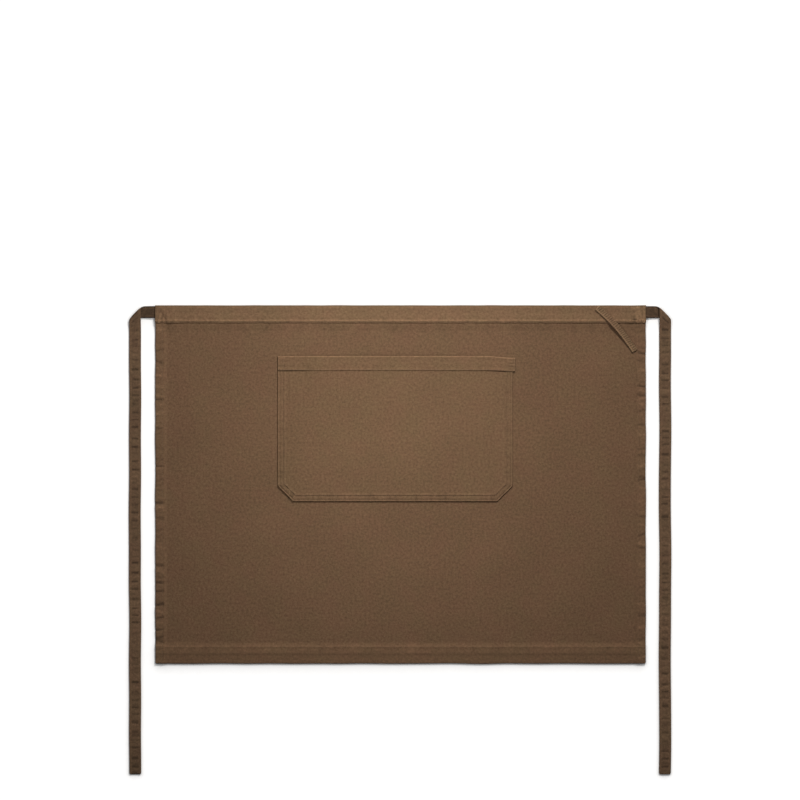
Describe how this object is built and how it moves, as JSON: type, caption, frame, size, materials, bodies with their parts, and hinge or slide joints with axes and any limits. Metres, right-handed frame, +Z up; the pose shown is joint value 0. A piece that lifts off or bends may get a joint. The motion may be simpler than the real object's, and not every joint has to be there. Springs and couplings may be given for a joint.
{
  "type": "waist apron",
  "caption": "Long brown canvas waist apron laid flat, with a folded waistband, flat side ties, a wide front patch pocket and a slanting towel loop.",
  "frame": {"origin": "on the floor under the middle of the overall outline, which runs from the waistband's top fold to the ends of the ties", "axes": "+X to the right along the waistband, seen from the front, +Y towards the waistband, +Z up through the cloth from its back to its front"},
  "size_m": [0.8668, 0.75, 0.0091],
  "materials": {
    "panel_canvas": "matt washed cotton canvas, dark tan brown",
    "band_canvas": "matt washed cotton canvas, slightly paler brown on the folded band",
    "pocket_canvas": "matt washed cotton canvas, dark tan brown",
    "loop_tape": "matt ribbed cotton tape, dark tan brown",
    "tie_canvas": "matt washed cotton canvas folded into a flat tie, dark brown"
  },
  "bodies": {
    "root": {"skirt_panel": "panel_canvas", "waistband": "band_canvas", "patch_pocket": "pocket_canvas", "towel_loop": "loop_tape", "tie_left": "tie_canvas", "tie_right": "tie_canvas"}
  },
  "joints": []
}
